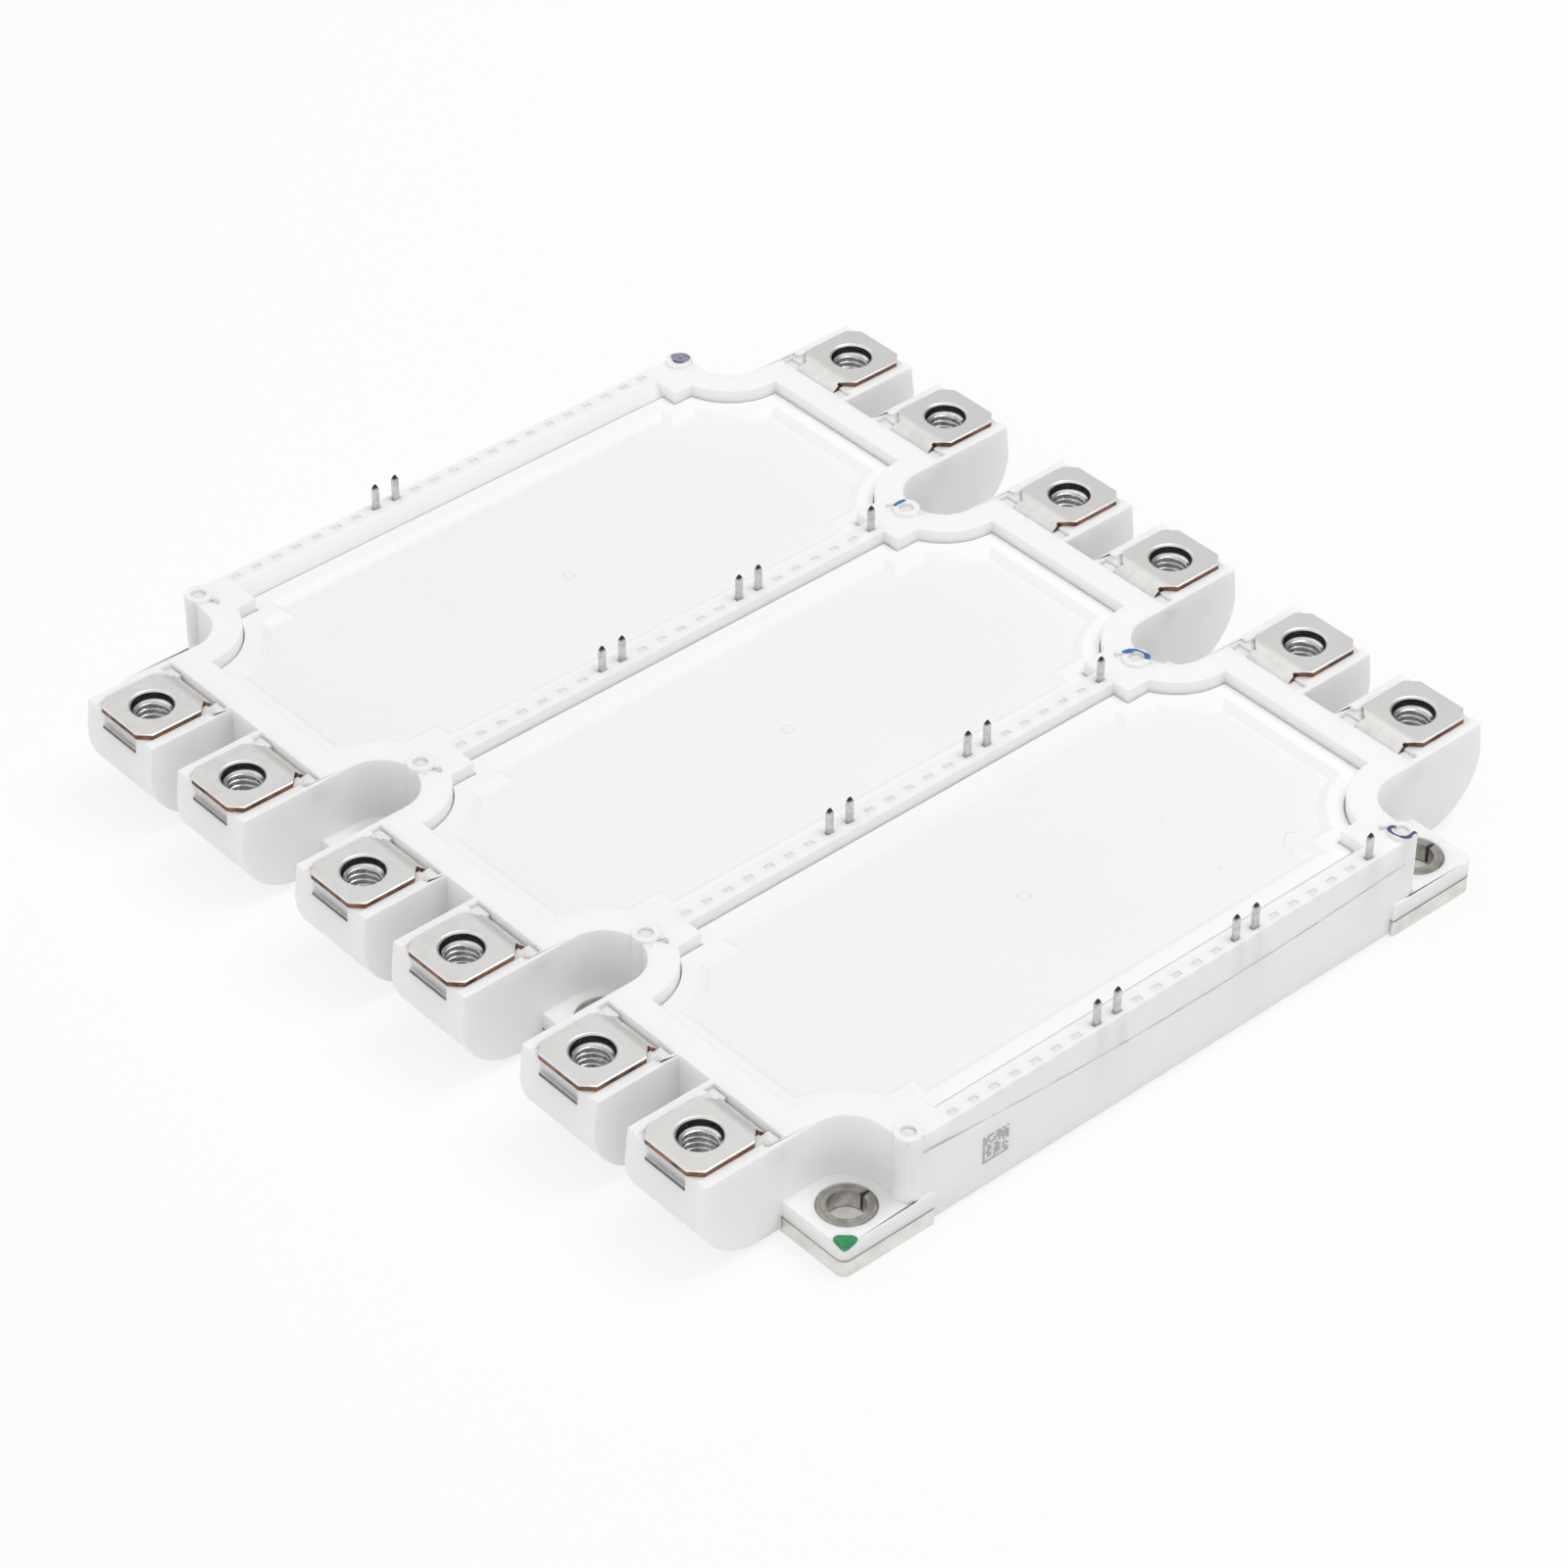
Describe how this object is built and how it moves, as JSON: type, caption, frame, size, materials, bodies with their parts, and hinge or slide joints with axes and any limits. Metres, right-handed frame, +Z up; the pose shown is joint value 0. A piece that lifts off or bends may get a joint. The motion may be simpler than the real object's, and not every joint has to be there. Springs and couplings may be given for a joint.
{
  "type": "power semiconductor module",
  "caption": "Flat power semiconductor module: white moulded housing with recessed lids, screw terminals on end blocks, rows of control pins and a bushed metal base plate.",
  "frame": {"origin": "centre of the base plate's underside", "axes": "+X across the sections, +Y along each section from one terminal row to the other, +Z up from the base plate"},
  "size_m": [0.162, 0.15, 0.0205],
  "materials": {
    "white_plastic": "satin moulded, fine grain",
    "lid_plastic": "satin moulded, slightly greyer than the housing",
    "nickel_plate": "matt nickel plating on copper",
    "silver_plate": "satin silver plating, bare copper at the cut edges",
    "zinc_nut": "bright zinc",
    "rolled_steel": "rolled, dull grey-brown",
    "tinned_pin": "dull tin, darker at the tip",
    "ceramic": "fired ceramic",
    "bare_copper": "etched copper",
    "silicon": "metallised silicon",
    "wire_aluminium": "drawn wire",
    "sensor_black": "small moulded resistor",
    "soft_gel": "soft clear silicone"
  },
  "bodies": {
    "root": {"frame": "white_plastic", "base_plate": "nickel_plate", "lid_1": "lid_plastic", "lid_2": "lid_plastic", "lid_3": "lid_plastic", "terminal_1": "silver_plate", "terminal_2": "silver_plate", "terminal_3": "silver_plate", "terminal_4": "silver_plate", "terminal_5": "silver_plate", "terminal_6": "silver_plate", "terminal_7": "silver_plate", "terminal_8": "silver_plate", "terminal_9": "silver_plate", "terminal_10": "silver_plate", "terminal_11": "silver_plate", "terminal_12": "silver_plate", "terminal_nuts": "zinc_nut", "bushings": "rolled_steel", "control_pin_1": "tinned_pin", "control_pin_2": "tinned_pin", "control_pin_3": "tinned_pin", "control_pin_4": "tinned_pin", "control_pin_5": "tinned_pin", "control_pin_6": "tinned_pin", "control_pin_7": "tinned_pin", "control_pin_8": "tinned_pin", "control_pin_9": "tinned_pin", "control_pin_10": "tinned_pin", "control_pin_11": "tinned_pin", "control_pin_12": "tinned_pin", "control_pin_13": "tinned_pin", "control_pin_14": "tinned_pin", "control_pin_15": "tinned_pin", "control_pin_16": "tinned_pin", "control_pin_17": "tinned_pin", "substrate_1": "ceramic", "substrate_2": "ceramic", "substrate_3": "ceramic", "substrate_4": "ceramic", "substrate_5": "ceramic", "substrate_6": "ceramic", "circuit_1": "bare_copper", "circuit_2": "bare_copper", "circuit_3": "bare_copper", "switch_chips": "silicon", "diode_chips": "silicon", "bond_wires_1": "wire_aluminium", "bond_wires_2": "wire_aluminium", "bond_wires_3": "wire_aluminium", "temperature_sensor": "sensor_black", "gel_1": "soft_gel", "gel_2": "soft_gel", "gel_3": "soft_gel"}
  },
  "joints": []
}
